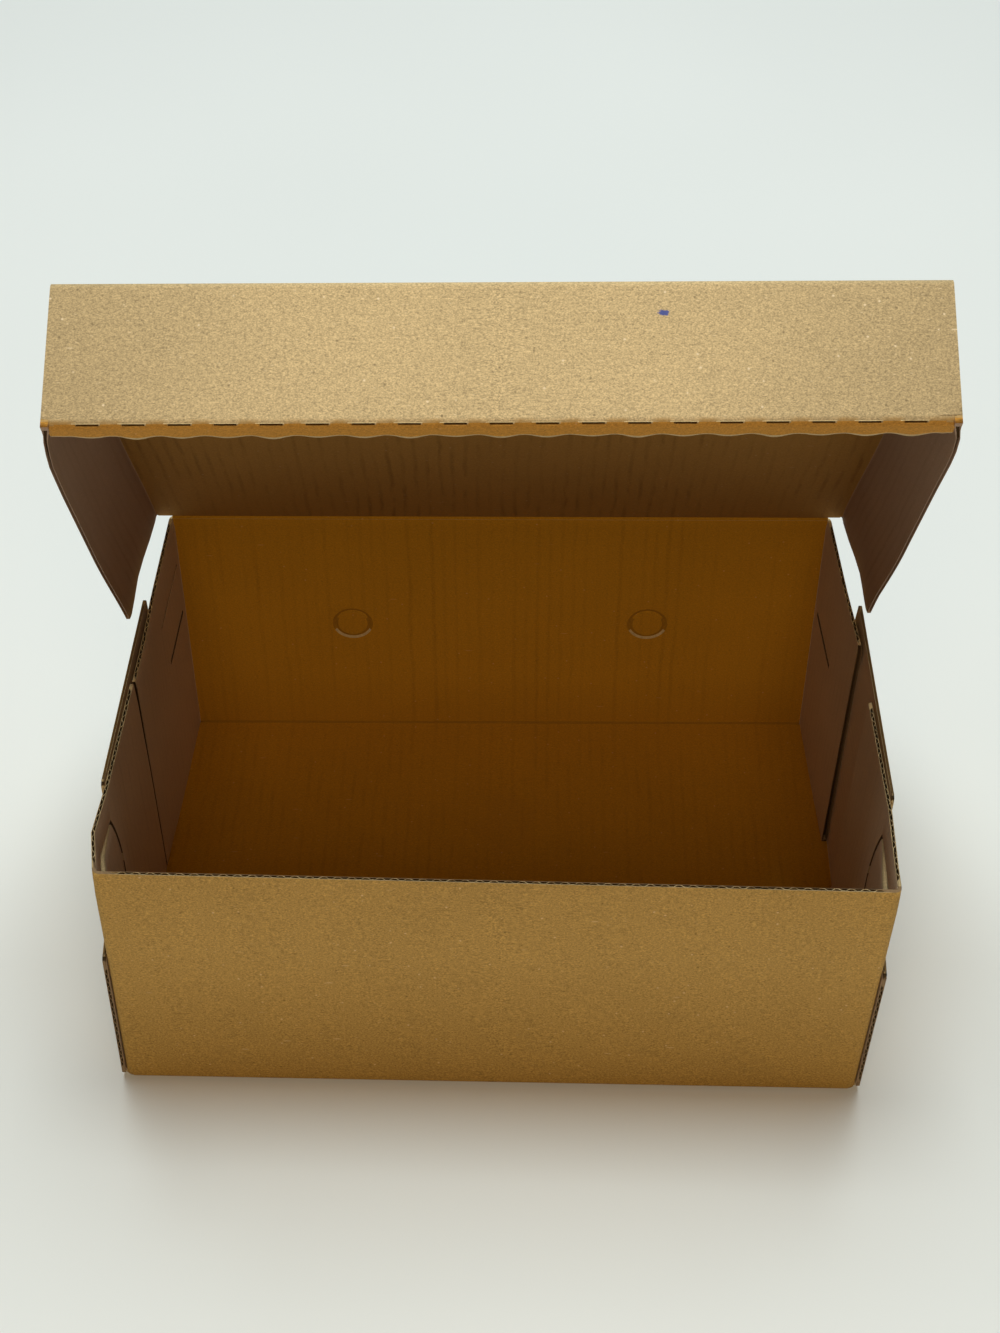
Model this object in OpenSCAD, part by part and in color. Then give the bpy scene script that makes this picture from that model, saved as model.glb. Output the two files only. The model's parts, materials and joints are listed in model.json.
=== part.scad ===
// Hinged-lid carton folded from one die-cut sheet of fine-flute corrugated board.
// Millimetres, +Z up. The origin is the middle of the underside, and the front wall faces -Y.

/* [Board] */
// Thickness of the corrugated board
board = 1.5; // [1.2:0.1:2]
// Radius inside every folded corner
fold_r = 0.5; // [0.3:0.1:1]
// Air left between two layers of board that lie against each other
layer_gap = 0.2; // [0.15:0.05:0.5]
// Depth of a pressed crease line
crease_depth = 0.3; // [0.1:0.05:0.5]
// Width of a pressed crease line
crease_w = 0.8; // [0.4:0.1:1.5]
// Width of a die-cut slit
slit_w = 0.8; // [0.4:0.1:1.2]

/* [Flutes at the cut edges] */
// Distance from one flute to the next
flute_pitch = 3.4; // [3:0.1:4]
// Thickness of each flat liner
liner = 0.25; // [0.2:0.05:0.3]
// Thickness of the wavy middle paper
medium = 0.2; // [0.15:0.05:0.25]
// Width over which the middle paper is glued to a liner, at each crest
crest_w = 1.1; // [0.9:0.1:1.3]
// Depth to which the flutes are open behind a cut edge
flute_depth = 4; // [2:0.5:6]

/* [Tray] */
// Width of the front wall, outside
front_w = 193; // [160:1:240]
// Width of the rear wall, outside
rear_w = 188; // [154:1:192]
// Depth of the tray, outside
depth = 134.5; // [118:0.5:170]
// Height of the front wall and the side walls
height = 83; // [66:1:110]
// Length of the wings folded back from the front wall
front_wing_len = 64; // [45:1:65]
// Length of the left wing folded forward from the rear wall
rear_wing_left_len = 67; // [45:1:68]
// Length of the right wing folded forward from the rear wall
rear_wing_right_len = 50; // [45:1:68]
// Height of the wings' lower edge over the bottom panel
wing_lift = 0.5; // [0.3:0.1:2]

/* [Outer side flaps] */
// Height of the full-depth lower band
band_h = 50; // [30:1:60]
// Setback of the band's ends from the front and rear planes
band_setback = 0.5; // [0.3:0.1:3]
// Setback of the tongue from the front plane
tongue_front = 30; // [20:1:45]
// Setback of the tongue from the rear plane
tongue_rear = 35; // [20:1:45]
// Radius of the flap's outer corners
flap_corner_r = 1.5; // [1:0.5:6]

/* [Cuts in the wings] */
// Distance of the front lock tab's upper cut from the top edge
tab_drop = 9; // [6:1:14]
// Height of the front lock tab
tab_h = 28; // [18:1:32]
// Distance of the front lock tab from the front plane
tab_front = 5.5; // [4:0.5:10]
// Length of the front lock tab
tab_len = 23; // [14:1:30]
// Radius of the front lock tab's curved rear cut
tab_round_r = 45; // [35:1:80]
// Distance from the tab's upper cut down to where the rear cut reaches furthest back
tab_round_drop = 18; // [10:1:22]
// Height of the slot in the rear wings
slot_z = 50; // [30:1:60]
// Length of the slot in the rear wings
slot_len = 22; // [12:1:30]
// Width of the slot in the rear wings
slot_w = 1.6; // [0.8:0.1:3]
// Distance of the slot from the rear corner fold
slot_start = 3; // [2:0.5:10]
// Distance of the left rear wing's crease line from the top edge
wing_crease_drop = 14.5; // [8:0.5:18]
// Length of that crease line, above the slot
wing_crease_len = 27; // [12:1:34]

/* [Vent discs] */
// Diameter of the two pressed discs in the rear wall
vent_d = 10.3; // [6:0.1:16]
// Distance between the two discs
vent_spacing = 87; // [50:1:120]
// Height of the discs' centres
vent_z = 43; // [20:1:60]

/* [Lid] */
// Opening angle of the lid from closed
lid_open = 61.5; // [0:0.5:180]
// Depth of the lid's skirt, outside
skirt = 35.2; // [25:0.1:45]
// Width of the skirt's rolled lower edge
roll_w = 6.8; // [5.8:0.1:9]
// Clearance between the closed lid and the tray
lid_clear = 0.35; // [0.3:0.05:1.5]
// Depth of the lid's side flaps, outside
lid_flap_h = 36.2; // [25:0.1:46]
// Slant of the side flaps' rear edges, along the lid
flap_slant = 13.5; // [5:0.5:30]
// Gap from the hinge to the side flaps' rear edges
flap_rear_gap = 1.5; // [1:0.1:4]
// Length of the tabs held inside the rolled skirt
skirt_tab_len = 40; // [15:1:70]
// Length of one perforation cut
perf_cut = 5; // [3:0.5:7]
// Distance from one perforation cut to the next
perf_pitch = 10; // [8:0.5:14]
// Width of a perforation cut
perf_w = 0.5; // [0.3:0.1:0.8]
// Uncut length at each end of a row of perforations, at least
perf_margin = 7; // [5:0.5:12]
// Setback of each board end from the hinge axis
hinge_gap = 0.2; // [0.2:0.05:0.4]

/* [Hidden] */
$fn = 48;
kraft = [0.66, 0.5, 0.33];
// A cutting body reaches this far past the faces that it cuts.
over = 1;
// The two solids of one sheet run this far into each other at a joint.
bite = 0.05;

outer_r = fold_r + board;
flap_in = front_w / 2 + layer_gap;
flap_out = flap_in + board;
wing_z0 = board + wing_lift;
front_y = -depth / 2;
rear_y = depth / 2;
lid_in = flap_out + lid_clear;
lid_half = lid_in + board;
hinge_y = rear_y - board / 2;
hinge_z = height + lid_clear + board / 2;
// Measured from the hinge axis to the outer face of the skirt.
lid_len = hinge_y - front_y + lid_clear + roll_w;
tab_top_z = height - tab_drop;
tab_crease_z = tab_top_z - tab_h;
tab_round_z = tab_top_z - tab_round_drop;
wing_crease_z = height - wing_crease_drop;

// Quarter of a folded corner in the first quadrant, with the fold's centre at the origin.
module fold_arc(sweep = 90) {
    intersection() {
        difference() {
            circle(r = outer_r);
            circle(r = fold_r);
        }
        polygon([
            [0, 0],
            [2 * outer_r, 0],
            [2 * outer_r, 2 * outer_r * tan(min(sweep, 45))],
            [2 * outer_r * cos(sweep), 2 * outer_r * sin(sweep)]
        ]);
    }
}

// Folded corner that runs along X from -half to half. Its outside faces -Y and -Z.
module fold_along_x(half, y, z) {
    translate([-half, y + outer_r, z + outer_r])
        rotate([90, 0, 90])
            rotate(180)
                linear_extrude(2 * half)
                    fold_arc();
}

// Folded corner that runs along Y from y0 to y1. Its outside faces +X and -Z.
module fold_along_y(x, z, y0, y1) {
    translate([x - outer_r, y1, z + outer_r])
        rotate([90, 0, 0])
            rotate(-90)
                linear_extrude(y1 - y0)
                    fold_arc();
}

// Rectangle given by two corners, in the plane.
module rect(a, b) {
    translate(a)
        square(b - a);
}

// Block given by two corners.
module block(a, b) {
    translate(a)
        cube(b - a);
}

// Stands a drawing of (y, z) upright as a board whose inner face is at x.
module side_board(x, thick = board) {
    translate([x, 0, 0])
        rotate([90, 0, 90])
            linear_extrude(thick)
                children();
}

// Lays a drawing across the board's thickness: its x becomes Z, its y becomes X and it is pulled along Y.
module along_y() {
    rotate([90, 0, 90])
        rotate([90, 0, 90])
            children();
}

// Air between one wave of the middle paper and the liner on its +Y side.
module flute_void() {
    inside = board / 2 - liner;
    wide = (flute_pitch - crest_w) / 2;
    narrow = crest_w / 2 - medium;
    polygon([[-wide, inside], [wide, inside], [narrow, medium - inside], [-narrow, medium - inside]]);
}

// A row of flutes from x = 0 to a length, open to one liner and the other in turn.
module flute_row(length) {
    count = floor(length / flute_pitch) - 1;
    start = (length - count * flute_pitch) / 2;
    for (i = [0:2 * count - 1])
        translate([start + (i + 0.5) * flute_pitch / 2, 0])
            rotate(180 * (i % 2))
                flute_void();
}

// Flutes that open upwards at the top edge of a wall, along +X from the origin.
module top_flutes(length) {
    translate([0, 0, height - flute_depth])
        linear_extrude(flute_depth + over)
            flute_row(length);
}

// One end of board, pressed thin at the hinge. The hinge axis is the origin and the board lies below.
module hinge_end(length) {
    half = board / 2;
    polygon([
        [-half, -length],
        [half, -length],
        [half, -half - hinge_gap],
        [hinge_gap, -2 * hinge_gap],
        [-hinge_gap, -2 * hinge_gap],
        [-half, -half - hinge_gap]
    ]);
}

module bottom_panel() {
    block([-flap_out + outer_r - bite, front_y + outer_r - bite, 0],
          [flap_out - outer_r + bite, rear_y - outer_r + bite, board]);
}

module front_wall() {
    half = front_w / 2 - outer_r;
    fold_along_x(half, front_y, 0);
    difference() {
        block([-half - bite, front_y, outer_r - bite], [half + bite, front_y + board, height]);
        translate([-half, front_y + board / 2, 0])
            top_flutes(2 * half);
    }
}

module vent_creases() {
    for (side = [-1, 1])
        translate([side * vent_spacing / 2, rear_y - board - over, vent_z])
            rotate([-90, 0, 0])
                linear_extrude(over + crease_depth)
                    difference() {
                        circle(d = vent_d + crease_w);
                        circle(d = vent_d - crease_w);
                    }
}

module rear_wall() {
    half = rear_w / 2 - outer_r;
    mirror([0, 1, 0])
        fold_along_x(half, front_y, 0);
    difference() {
        translate([-half - bite, hinge_y, hinge_z])
            rotate([90, 0, 90])
                linear_extrude(2 * (half + bite))
                    hinge_end(hinge_z - outer_r + bite);
        vent_creases();
    }
}

// Outline of the front lock tab, in (y, z), grown by a margin on its three cut sides.
module lock_tab(margin) {
    y0 = front_y + tab_front;
    intersection() {
        rect([y0 - margin, tab_crease_z], [y0 + tab_len + margin, tab_top_z + margin]);
        translate([y0 + tab_len - tab_round_r, tab_round_z])
            circle(r = tab_round_r + margin, $fn = 96);
    }
}

// Pressed line along the bottom of the front lock tab, from its front cut to its curved rear cut.
module lock_tab_crease() {
    y0 = front_y + tab_front;
    rise = tab_round_z - tab_crease_z;
    y1 = y0 + tab_len - tab_round_r + sqrt(tab_round_r * tab_round_r - rise * rise);
    rect([y0, tab_crease_z - crease_w / 2], [y1, tab_crease_z + crease_w / 2]);
}

// Wing folded back from the right end of the front wall.
module front_wing() {
    x_in = front_w / 2 - board;
    y0 = front_y + outer_r;
    y1 = front_y + front_wing_len;
    translate([front_w / 2 - outer_r, y0, wing_z0])
        rotate(-90)
            linear_extrude(height - wing_z0)
                fold_arc();
    difference() {
        side_board(x_in)
            rect([y0 - bite, wing_z0], [y1, height]);
        side_board(x_in - over, board + 2 * over)
            difference() {
                lock_tab(slit_w);
                lock_tab(0);
            }
        side_board(x_in - over, over + crease_depth)
            lock_tab_crease();
        translate([x_in + board / 2, y0, 0])
            rotate(90)
                top_flutes(y1 - y0);
    }
}

// Wing folded forward from the right end of the rear wall. It splays out to meet the front wing's plane.
module rear_wing(length, creased) {
    reach = length - outer_r;
    splay = asin((front_w - rear_w) / 2 / reach);
    translate([rear_w / 2 - outer_r, rear_y - outer_r, 0])
        rotate(splay) {
            translate([0, 0, wing_z0])
                linear_extrude(height - wing_z0)
                    fold_arc(90 - splay);
            difference() {
                side_board(fold_r)
                    rect([-reach, wing_z0], [bite, height]);
                side_board(fold_r - over, board + 2 * over)
                    rect([-slot_start - slot_len, slot_z], [-slot_start, slot_z + slot_w]);
                if (creased)
                    side_board(fold_r - over, over + crease_depth)
                        rect([-slot_start - wing_crease_len, wing_crease_z],
                             [-slot_start, wing_crease_z + crease_w]);
                translate([fold_r + board / 2, 0, 0])
                    rotate(-90)
                        top_flutes(reach);
            }
        }
}

// Rectangle in (y, z) with its two upper corners rounded.
module round_top(a, b) {
    r = flap_corner_r;
    rect(a, [b[0], b[1] - r]);
    rect([a[0] + r, b[1] - r - bite], [b[0] - r, b[1]]);
    for (y = [a[0] + r, b[0] - r])
        translate([y, b[1] - r])
            circle(r = r);
}

// Flutes that open at both upright edges of an outer flap, between two heights.
module edge_flutes(a, b) {
    for (y = [a[0] - over, b[0] - flute_depth])
        translate([flap_in + board / 2, y, a[1]])
            along_y()
                linear_extrude(flute_depth + over)
                    flute_row(b[1] - flap_corner_r - a[1]);
}

// Outer flap folded up from the right edge of the bottom panel. Its flutes run along Y.
// It is a full-depth band with a narrower tongue that reaches the top edge.
module outer_flap() {
    band = [[front_y + band_setback, outer_r - bite], [rear_y - band_setback, band_h]];
    tongue = [[front_y + tongue_front, band_h - bite], [rear_y - tongue_rear, height]];
    fold_along_y(flap_out, 0, front_y + outer_r, rear_y - outer_r);
    difference() {
        side_board(flap_in) {
            round_top(band[0], band[1]);
            round_top(tongue[0], tongue[1]);
        }
        edge_flutes(band[0], band[1]);
        edge_flutes(tongue[0], tongue[1]);
    }
}

module tray() {
    color(kraft)
        union() {
            bottom_panel();
            front_wall();
            rear_wall();
            rear_wing(rear_wing_right_len, false);
            mirror([1, 0, 0])
                rear_wing(rear_wing_left_len, true);
            for (side = [0, 1])
                mirror([side, 0, 0]) {
                    front_wing();
                    outer_flap();
                }
        }
}

// The lid is drawn closed, with the hinge axis along X at the origin and the skirt towards -Y.
lid_top = board / 2;
lid_low = lid_top - skirt;
skirt_y = -lid_len;

module lid_panel() {
    half = lid_half - outer_r + bite;
    translate([-half, 0, 0])
        rotate([90, 0, 90])
            linear_extrude(2 * half)
                rotate(-90)
                    hinge_end(lid_len - outer_r + bite);
}

// Flutes that open along the slanted rear edge of a lid flap, which runs from one (y, z) point to another.
module slant_flutes(top, low) {
    count = 2 * floor((top[1] - low[1]) / flute_pitch) - 1;
    start = (top[1] - low[1] - count * flute_pitch / 2) / 2;
    for (i = [0:count - 1]) {
        z = top[1] - start - (i + 0.5) * flute_pitch / 2;
        y = top[0] + (low[0] - top[0]) * (top[1] - z) / (top[1] - low[1]);
        translate([lid_in + board / 2, y - flute_depth, z])
            along_y()
                linear_extrude(flute_depth + over)
                    rotate(180 * (i % 2))
                        flute_void();
    }
}

// The right side flap, with the tab at its front end that the rolled skirt holds.
module lid_flap() {
    r = flap_corner_r;
    y0 = skirt_y + board + layer_gap;
    z_fold = lid_top - outer_r;
    z_tab = lid_low + board + layer_gap;
    z_low = lid_top - lid_flap_h;
    slant_top = [-flap_rear_gap, z_fold];
    slant_low = [-flap_rear_gap - flap_slant, z_low + r];
    mirror([0, 0, 1])
        fold_along_y(lid_half, -lid_top, y0 + outer_r, -flap_rear_gap);
    difference() {
        side_board(lid_in)
            polygon([
                [y0 + outer_r - bite, z_fold + bite],
                [y0 + outer_r - bite, z_tab],
                [y0, z_tab],
                [y0, z_low],
                slant_low - [r, r],
                slant_low,
                slant_top,
                slant_top + [0, bite]
            ]);
        slant_flutes(slant_top, slant_low);
    }
    translate([lid_half - outer_r, y0 + outer_r, z_tab])
        rotate(-90)
            linear_extrude(z_fold - z_tab)
                fold_arc();
    block([lid_half - skirt_tab_len, y0, z_tab],
          [lid_half - outer_r + bite, y0 + board, z_fold]);
}

// Cuts through one folded edge of the rolled skirt, spread evenly over the lid's width.
module perforations(y, tilt) {
    count = floor((2 * (lid_half - perf_margin) - perf_cut) / perf_pitch) + 1;
    for (i = [0:count - 1])
        translate([(i - (count - 1) / 2) * perf_pitch, y, lid_low + outer_r])
            rotate([tilt, 0, 0])
                translate([-perf_cut / 2, -perf_w / 2, -2 * outer_r])
                    cube([perf_cut, perf_w, 2 * outer_r - fold_r / 2]);
}

// The skirt's outer panel, its narrow rolled edge and the inner panel that turns back up inside.
module rolled_skirt() {
    inner_half = lid_in - layer_gap;
    mirror([0, 0, 1])
        fold_along_x(lid_half, skirt_y, -lid_top);
    difference() {
        union() {
            block([-lid_half, skirt_y, lid_low + outer_r - bite],
                  [lid_half, skirt_y + board, lid_top - outer_r + bite]);
            fold_along_x(inner_half, skirt_y, lid_low);
        }
        perforations(skirt_y + outer_r, -45);
    }
    block([-inner_half, skirt_y + outer_r - bite, lid_low],
          [inner_half, skirt_y + roll_w - outer_r + bite, lid_low + board]);
    difference() {
        union() {
            mirror([0, 1, 0])
                fold_along_x(inner_half, -skirt_y - roll_w, lid_low);
            block([-inner_half, skirt_y + roll_w - board, lid_low + outer_r - bite],
                  [inner_half, skirt_y + roll_w, -lid_top - layer_gap]);
        }
        perforations(skirt_y + roll_w - outer_r, 45);
    }
}

module lid() {
    color(kraft)
        translate([0, hinge_y, hinge_z])
            rotate([-lid_open, 0, 0])
                union() {
                    lid_panel();
                    rolled_skirt();
                    for (side = [0, 1])
                        mirror([side, 0, 0])
                            lid_flap();
                }
}

tray();
lid();
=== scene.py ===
# %% [markdown]
# # A carton folded from one sheet of corrugated board
#
# The carton is one die-cut sheet of brown fluted board: a tray with layered sides, and a lid that hangs
# on a crease along the rear wall. The solids that carry the construction are already there, so this
# lesson copies them, makes the board bend a little as board does, and gives every paper surface its
# finish.
#
# The first cell loads the solids as a fixed frame.

# %% Load the frame
import json
import math

import bpy
import numpy as np
from mathutils import Matrix, Vector


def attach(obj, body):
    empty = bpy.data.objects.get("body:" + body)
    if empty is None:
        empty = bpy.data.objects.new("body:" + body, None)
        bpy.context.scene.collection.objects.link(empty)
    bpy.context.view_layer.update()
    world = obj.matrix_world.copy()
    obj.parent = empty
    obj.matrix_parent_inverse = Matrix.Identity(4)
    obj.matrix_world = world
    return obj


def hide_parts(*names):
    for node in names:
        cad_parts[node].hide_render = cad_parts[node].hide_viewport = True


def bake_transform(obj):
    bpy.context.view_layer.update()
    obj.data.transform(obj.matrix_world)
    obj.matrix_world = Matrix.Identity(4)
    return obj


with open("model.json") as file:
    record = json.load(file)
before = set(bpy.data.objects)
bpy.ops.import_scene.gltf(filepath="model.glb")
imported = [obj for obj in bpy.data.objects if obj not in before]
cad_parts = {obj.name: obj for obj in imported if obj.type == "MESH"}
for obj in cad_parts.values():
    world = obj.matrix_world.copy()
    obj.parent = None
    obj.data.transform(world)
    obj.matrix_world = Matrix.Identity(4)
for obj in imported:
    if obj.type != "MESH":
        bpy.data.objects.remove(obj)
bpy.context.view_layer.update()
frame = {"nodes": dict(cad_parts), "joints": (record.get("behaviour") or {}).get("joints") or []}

# %% [markdown]
# The lid stands open in its rest place, which is awkward to model in: its skirt and flaps are square to
# each other only when it is turned back to closed. The hinge in the record gives the place of the crease
# and the angle that the lid stands open, so one matrix takes a point of the lid to a bench where the lid
# lies closed and the crease is the zero line. Places on the board are in millimetres all through the
# lesson: X to the right, Y to the rear and Z up.

# %% Sizes shared by all the steps
MM = 0.001
BOARD = 1.5
FLUTE = 3.4

hinge = frame["joints"][0]
crease_point = Vector(hinge["pos_m"])
lid_angle = math.radians(-hinge["range_deg"][0])
lid_to_bench = Matrix.Rotation(lid_angle, 4, "X") @ Matrix.Translation(-crease_point)
print("lid stands open", round(math.degrees(lid_angle), 1), "degrees")

# %% [markdown]
# A solid's mesh comes as loose triangles. To bend it, each sheet is copied, its triangles are merged, and
# flat areas are dissolved to plain faces. A remesh would be shorter to write, but it would round off the
# thin liners and the flutes.

# %% Copy a solid as a mesh that can bend
MERGE = 0.02
FLAT = math.radians(0.5)


def edit_only(piece):
    bpy.ops.object.select_all(action="DESELECT")
    piece.select_set(True)
    bpy.context.view_layer.objects.active = piece
    bpy.ops.object.mode_set(mode="EDIT")
    bpy.ops.mesh.select_mode(type="FACE")
    bpy.ops.mesh.select_all(action="SELECT")


def object_mode():
    bpy.ops.object.mode_set(mode="OBJECT")


def copy_of(node, name, to_bench):
    piece = bpy.data.objects.new(name, frame["nodes"][node].data.copy())
    bpy.context.scene.collection.objects.link(piece)
    piece.data.transform(to_bench)
    piece.data.materials.clear()
    edit_only(piece)
    bpy.ops.mesh.remove_doubles(threshold=MERGE * MM)
    bpy.ops.mesh.dissolve_limited(angle_limit=FLAT)
    object_mode()
    print(name, "starts with", len(piece.data.polygons), "faces")
    return piece


tray = copy_of("tray", "folded_tray", Matrix.Identity(4))
lid = copy_of("lid", "folded_lid", lid_to_bench)

# %% [markdown]
# A flat panel with points only at its corners can't bow. Subdividing would cut long thin faces into more
# long thin faces. Slicing by planes gives a grid of even cells, and lets a slice fall just where the
# board really bends, such as at the kink of the left front wing.

# %% Slice both sheets into cells
CELL = 6.0
FIRST_CELL = 0.37 * CELL
WING_KINK_AT = -53.7
TONGUE_STARTS_AT = -37.25
BEFORE_TONGUE = TONGUE_STARTS_AT - 1.0
FRONT_INNER_LINER = -66.0
SAME_PLANE = 0.001


def slice_at(axis, places):
    """Cuts the faces that show in edit mode by planes square to an axis; places are in millimetres."""
    square_to = [0.0, 0.0, 0.0]
    square_to[axis] = 1.0
    for place in places:
        through = [0.0, 0.0, 0.0]
        through[axis] = float(place) * MM
        bpy.ops.mesh.select_all(action="SELECT")
        bpy.ops.mesh.bisect(plane_co=through, plane_no=square_to, threshold=SAME_PLANE * MM)


for piece in (tray, lid):
    low = np.array(piece.bound_box).min(axis=0) / MM
    high = np.array(piece.bound_box).max(axis=0) / MM
    edit_only(piece)
    for axis in range(3):
        slice_at(axis, np.arange(low[axis] + FIRST_CELL, high[axis], CELL))
    if piece is tray:
        slice_at(1, [WING_KINK_AT, BEFORE_TONGUE, FRONT_INNER_LINER])
    bpy.ops.mesh.select_all(action="SELECT")
    bpy.ops.mesh.remove_doubles(threshold=MERGE * MM)
    object_mode()
    print(piece.name, "has", len(piece.data.polygons), "faces after slicing")

# %% [markdown]
# By hand, faces are picked with the mouse. A script finds them by their place and by the way that they
# face. These helpers read points and faces as arrays of millimetres, which is much quicker than a loop
# over them, and take a choice of faces to edit mode.

# %% Read points and choose faces
def points_of(piece):
    flat = np.empty(len(piece.data.vertices) * 3)
    piece.data.vertices.foreach_get("co", flat)
    return flat.reshape(-1, 3) / MM


def faces_of(piece):
    count = len(piece.data.polygons)
    centre = np.empty(count * 3)
    normal = np.empty(count * 3)
    piece.data.polygons.foreach_get("center", centre)
    piece.data.polygons.foreach_get("normal", normal)
    return centre.reshape(-1, 3) / MM, normal.reshape(-1, 3)


def edit_faces(piece, wanted):
    """Goes to edit mode with just these faces selected."""
    edit_only(piece)
    bpy.ops.mesh.select_all(action="DESELECT")
    object_mode()
    piece.data.polygons.foreach_set("select", wanted)
    bpy.ops.object.mode_set(mode="EDIT")


def between(place, low, high):
    return (place > low) & (place < high)


def near(place, middle, reach):
    return np.abs(place - middle) < reach


print("lid on its bench spans", np.ptp(points_of(lid), axis=0).round(1), "mm")

# %% [markdown]
# The board shows nine kinds of surface, each with a material slot: the liner that faces out, the liner
# that faces in, the liner of the side walls, cut edges, hollows in painted shade, pressed lines and rims in
# painted shade, the rolled edge of the skirt in painted shade, lips with a painted highlight, and scored
# and pressed grooves in painted shade. A liner runs unbroken round every fold, so one face of it is
# enough: growing a flat selection from that face, across bends but not across square edges, finds the
# rest. Only the spots that a slit or a pressed ring cuts off need a starting face of their own. The taper
# at the hinge is hidden meanwhile, because there the selection would run round to the other liner.

# %% Give each liner its own material slot
KINDS = range(9)
# five of these slots hold painted light: shade in hollows, on pressed lines and rims, in grooves and under
# the roll, and a highlight on the lips
OUTSIDE, INSIDE, SIDES, CUT, RECESS_SHADE, PAINTED_SHADE, ROLL, LIP_HIGHLIGHT, GROOVE_SHADE = KINDS
SOFT_FOLD = math.radians(60)
FACING = 0.9


def paint_liner(piece, starts, slot, crease_yz):
    """starts holds pairs of a point on the liner, in millimetres, and the way that the liner faces there."""
    centre, normal = faces_of(piece)
    taper = np.linalg.norm(centre[:, 1:] - np.array(crease_yz), axis=1) < BOARD
    seeds = []
    for point, facing in starts:
        away = np.linalg.norm(centre - np.array(point), axis=1)
        away[normal @ np.array(facing) < FACING] = np.inf
        seeds.append(int(away.argmin()))
    edit_faces(piece, taper)
    bpy.ops.mesh.hide(unselected=False)
    object_mode()
    for seed in seeds:
        piece.data.polygons[seed].select = True
    bpy.ops.object.mode_set(mode="EDIT")
    bpy.ops.mesh.faces_select_linked_flat(sharpness=SOFT_FOLD)
    piece.active_material_index = slot
    bpy.ops.object.material_slot_assign()
    bpy.ops.mesh.reveal(select=False)
    object_mode()


for piece in (tray, lid):
    for slot in KINDS:
        piece.data.materials.append(None)
    piece.data.polygons.foreach_set("material_index", [CUT] * len(piece.data.polygons))

# %% [markdown]
# Each list of starts begins with the middle of a large panel. The others are the spots that are cut off:
# the lock tabs, the wings above them, the wings above the rear slots, and the two pressed discs.

# %% Paint both liners of both sheets
FRONT_HALF_WIDTH = 96.5
DISC_OUT, DISC_UP = 43.5, 43.0

left, right, up, down, front = (-1, 0, 0), (1, 0, 0), (0, 0, 1), (0, 0, -1), (0, -1, 0)
tray_crease = np.array(crease_point)[1:] / MM
out_starts = [((0, 0, 0), down)]
in_starts = [((0, 0, BOARD), up)]
for side, outward, inward in ((-1, left, right), (1, right, left)):
    tab_out, tab_in = side * FRONT_HALF_WIDTH, side * (FRONT_HALF_WIDTH - BOARD)
    out_starts.append(((tab_out, -50, 60), outward))
    in_starts.append(((tab_in, -50, 60), inward))
    in_starts.append(((tab_in, -50, 79), inward))
    in_starts.append(((side * 91, 45, 76), inward))
    in_starts.append(((side * DISC_OUT, 65.75, DISC_UP), front))
paint_liner(tray, out_starts, OUTSIDE, tray_crease)
paint_liner(tray, in_starts, INSIDE, tray_crease)
paint_liner(lid, [((0, -70, BOARD / 2), up)], OUTSIDE, (0, 0))
paint_liner(lid, [((0, -70, -BOARD / 2), down)], INSIDE, (0, 0))


def kinds_of(piece):
    kinds = np.empty(len(piece.data.polygons), dtype=np.int32)
    piece.data.polygons.foreach_get("material_index", kinds)
    return kinds


for piece in (tray, lid):
    print(piece.name, "outside, inside, sides and cut:", np.bincount(kinds_of(piece)).tolist())

# %% [markdown]
# What is left counts as cut edge so far. The pressed crease lines of the wings are painted dark, as
# painted shade. The rear wall folds up from the bottom along a scored line, and the two discs in the rear
# wall are pressed rings: the scored line and the grooves of the rings are painted dark too, as painted
# shade. The slope above a ring's middle keeps the colour of the liner, and only the slope at a ring's foot
# keeps the pale tone of a cut edge, as a painted highlight.

# %% Tell pressed lines from cut edges
WINGS_FROM = 91.0
FLAPS_FROM = 96.65
WING_CREASE_UP, TAB_FOLD_UP, SLOT_UP = 68.9, 46.0, 50.8
AT_REAR, AT_TABS = 30, -38


def paint_where(piece, wanted, slot, instead_of):
    kinds = kinds_of(piece)
    wanted = wanted & (kinds == instead_of)
    kinds[wanted] = slot
    piece.data.polygons.foreach_set("material_index", kinds)
    return int(wanted.sum())


centre, normal = faces_of(tray)
x, y, z = centre.T
side_x = np.abs(x)
on_wing = between(side_x, WINGS_FROM, FLAPS_FROM)
wing_crease = near(z, WING_CREASE_UP, 1.0) & (y > AT_REAR)
tab_fold = near(z, TAB_FOLD_UP, 1.0) & (y < AT_TABS)
# painted shade in the pressed crease lines of the wings
print("creases", paint_where(tray, on_wing & (wing_crease | tab_fold), PAINTED_SHADE, CUT))
rear_fold = between(y, 65.2, 65.76) & between(z, 1.49, 2.02) & (side_x < 92)
# painted shade along the scored fold between the bottom and the rear wall
print("rear fold", paint_where(tray, rear_fold, GROOVE_SHADE, INSIDE))
ring = (np.hypot(side_x - DISC_OUT, z - DISC_UP) < 6.5) & near(y, 66, 0.6)
slope = ring & (normal[:, 2] > 0.5)
ring_top = slope & (z > DISC_UP)
ring_foot = slope & (z < DISC_UP)
# painted shade in the grooves of the rings, and a painted highlight on the slope at each ring's foot
print("rings", paint_where(tray, ring_top, INSIDE, CUT), paint_where(tray, ring & ~ring_foot, GROOVE_SHADE, CUT))

# %% [markdown]
# Open flutes and the walls of slots and slits look into the board, and they are painted dark, as painted
# shade. Some rims and ends lie in the shade of the layer beside them, and they are painted half dark, also
# as painted shade. The inner liner of the side walls gets a slot of its own, with a tone greyer than the
# bottom and the rear wall: painted light, for the whiter light on the side walls than in the warm inside.

# %% Tell hollows, shaded rims and side walls apart
RIM_FROM = 82.9
FRONT_WINGS_FROM = 94.6
WING_ENDS_FROM = 92.6
WING_ENDS_AT, WING_ENDS_REACH = 7, 12

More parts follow.
